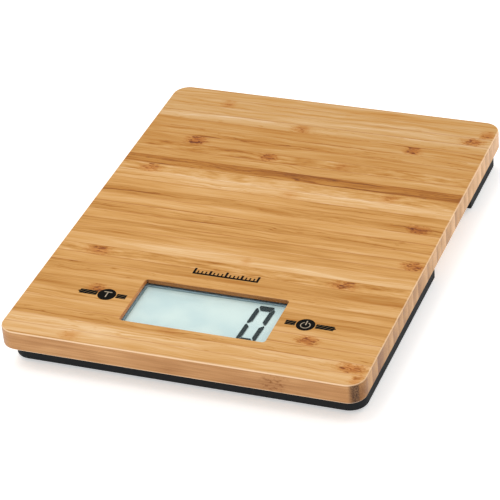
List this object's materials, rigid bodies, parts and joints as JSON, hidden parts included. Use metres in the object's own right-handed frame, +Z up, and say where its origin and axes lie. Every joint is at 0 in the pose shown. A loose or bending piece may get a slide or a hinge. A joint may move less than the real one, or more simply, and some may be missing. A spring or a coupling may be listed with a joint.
{
  "type": "kitchen scale",
  "caption": "Flat electronic kitchen scale: bamboo weighing plate with a display window and touch keys, floating on one load cell over a black moulded base.",
  "frame": {"origin": "on the surface the scale stands on, under the middle of the weighing plate", "axes": "+X to the right, +Y from the display towards the rear edge, +Z up"},
  "size_m": [0.17, 0.22, 0.021],
  "materials": {
    "bamboo": "satin lacquer",
    "clear_pane": "polished",
    "frame_plastic": "matte",
    "polarizer_film": "satin",
    "cell_glass": "polished",
    "reflector_film": "satin",
    "black_rubber": "matte",
    "circuit_board": "satin",
    "black_resin": "gloss",
    "plated_steel": "bright plated",
    "carrier_plastic": "matte",
    "load_cell_aluminium": "milled",
    "gauge_film": "gloss",
    "base_plastic": "fine texture",
    "foot_rubber": "matte",
    "battery_can": "satin",
    "foam_pad": "matte",
    "button_plastic": "satin",
    "switch_plastic": "satin",
    "red_wire": "satin",
    "white_wire": "satin",
    "black_wire": "satin",
    "black_print": "printed ink",
    "pale_print": "printed ink",
    "lcd_segment": "satin"
  },
  "bodies": {
    "base": {"base_tray": "base_plastic", "load_cell": "load_cell_aluminium", "strain_gauges": "gauge_film", "load_cell_lower_spacer": "plated_steel", "load_cell_lower_screws": "plated_steel", "foot_front_left": "foot_rubber", "foot_front_right": "foot_rubber", "foot_rear_left": "foot_rubber", "foot_rear_right": "foot_rubber", "battery_cell": "battery_can", "battery_contact_positive": "plated_steel", "battery_contact_negative": "plated_steel", "switch_board": "circuit_board", "switch_body": "switch_plastic", "switch_board_screws": "plated_steel", "battery_wires": "red_wire", "load_cell_cable": "white_wire", "switch_wires": "black_wire"},
    "platform": {"bamboo_plate": "bamboo", "display_lens": "clear_pane", "lcd_frame": "frame_plastic", "lcd_polarizer": "polarizer_film", "lcd_upper_glass": "cell_glass", "lcd_lower_glass": "cell_glass", "lcd_reflector": "reflector_film", "lcd_backing": "frame_plastic", "zebra_strip": "black_rubber", "main_circuit_board": "circuit_board", "chip_blob": "black_resin", "timing_crystal": "plated_steel", "board_resistors": "black_resin", "touch_spring_tare": "plated_steel", "touch_spring_power": "plated_steel", "platform_carrier": "carrier_plastic", "load_cell_upper_spacer": "plated_steel", "display_module_screws": "plated_steel", "carrier_screws": "plated_steel", "load_cell_upper_screws": "plated_steel"},
    "battery_door": {"battery_door": "base_plastic", "door_pad": "foam_pad"},
    "unit_button": {"unit_button": "button_plastic", "switch_plunger": "switch_plastic"}
  },
  "joints": [
    {"name": "platform_sink", "type": "slide", "parent": "base", "child": "platform", "axis": [0, 0, -1], "range_m": [0, 0.0005], "stiffness_N_per_m": 140000, "deforming": ["load_cell", "strain_gauges", "battery_wires", "load_cell_cable", "switch_wires"]},
    {"name": "battery_door_hinge", "type": "hinge", "parent": "base", "child": "battery_door", "pos_m": [-0.045, -0.0491, 0.003], "axis": [1, 0, 0], "range_deg": [0, 95]},
    {"name": "unit_button_press", "type": "slide", "parent": "base", "child": "unit_button", "axis": [0, 0, 1], "range_m": [0, 0.0003], "stiffness_N_per_m": 6700}
  ]
}
